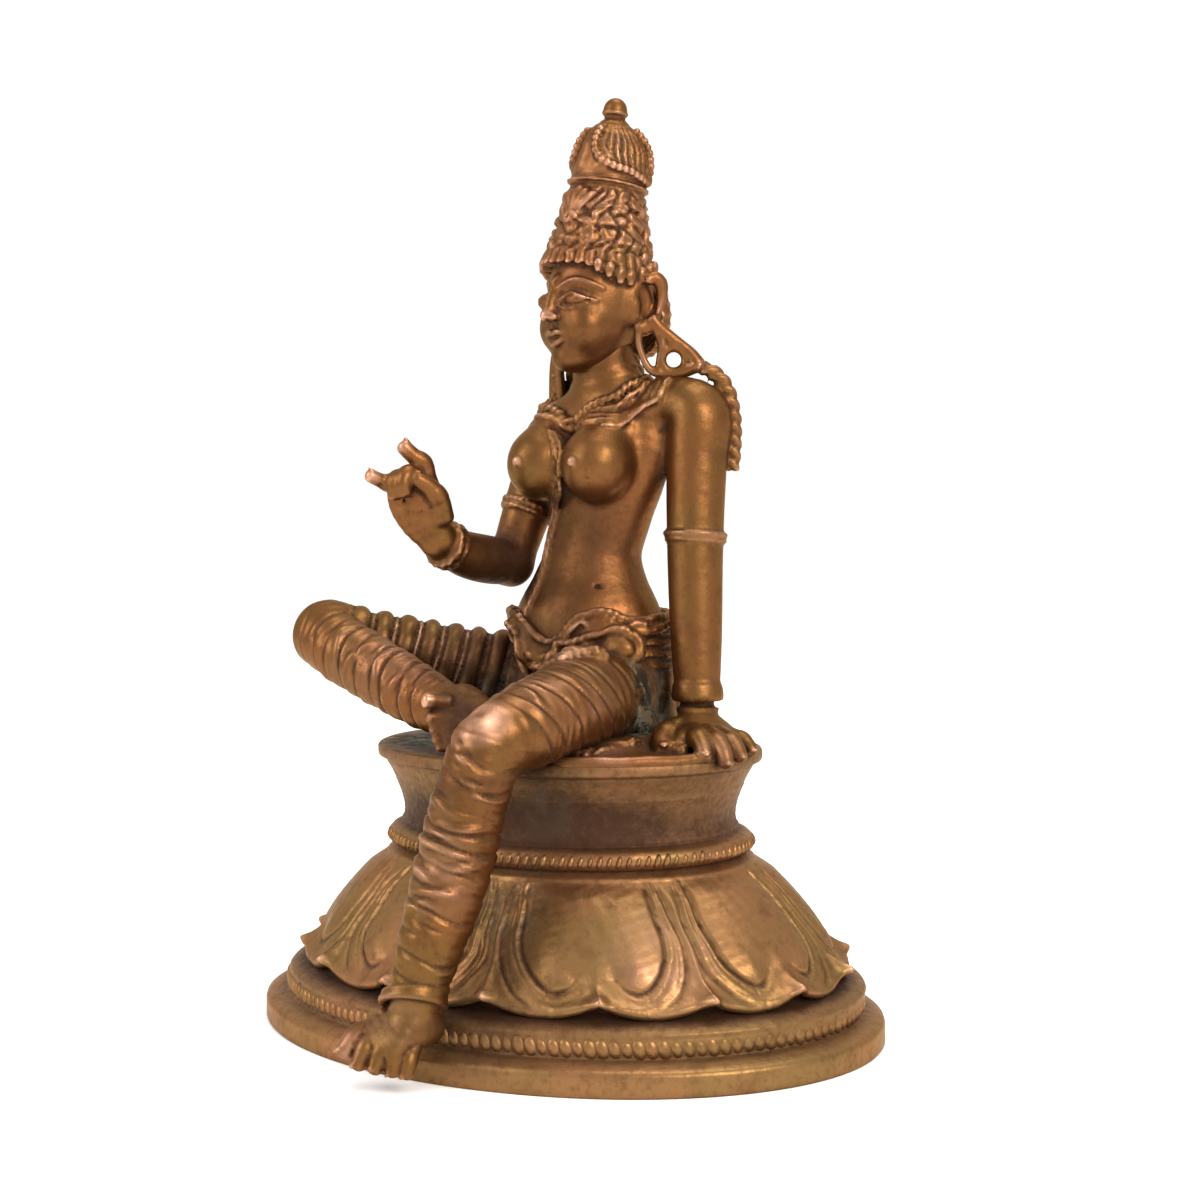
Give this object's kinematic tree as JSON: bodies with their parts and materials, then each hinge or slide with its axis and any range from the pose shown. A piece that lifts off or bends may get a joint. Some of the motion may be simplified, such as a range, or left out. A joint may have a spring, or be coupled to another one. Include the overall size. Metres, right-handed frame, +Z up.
{
  "type": "seated goddess figure",
  "caption": "Small cast figure of a seated goddess, one leg folded and one hanging, one hand raised and one on the seat, on an oval lotus pedestal that stands on a flat underside.",
  "frame": {"origin": "middle of the oval foot ring, on the underside", "axes": "+Z up to the crown, -Y is the side that the figure faces, +X is the figure's left"},
  "size_m": [0.083, 0.0708, 0.1122],
  "materials": {
    "pedestal_metal": "aged warm brown copper alloy, satin, dark in the carving",
    "figure_metal": "aged reddish brown copper alloy, satin, worn bright on the high places"
  },
  "bodies": {
    "root": {"lotus_pedestal": "pedestal_metal", "goddess_figure": "figure_metal"}
  },
  "joints": []
}
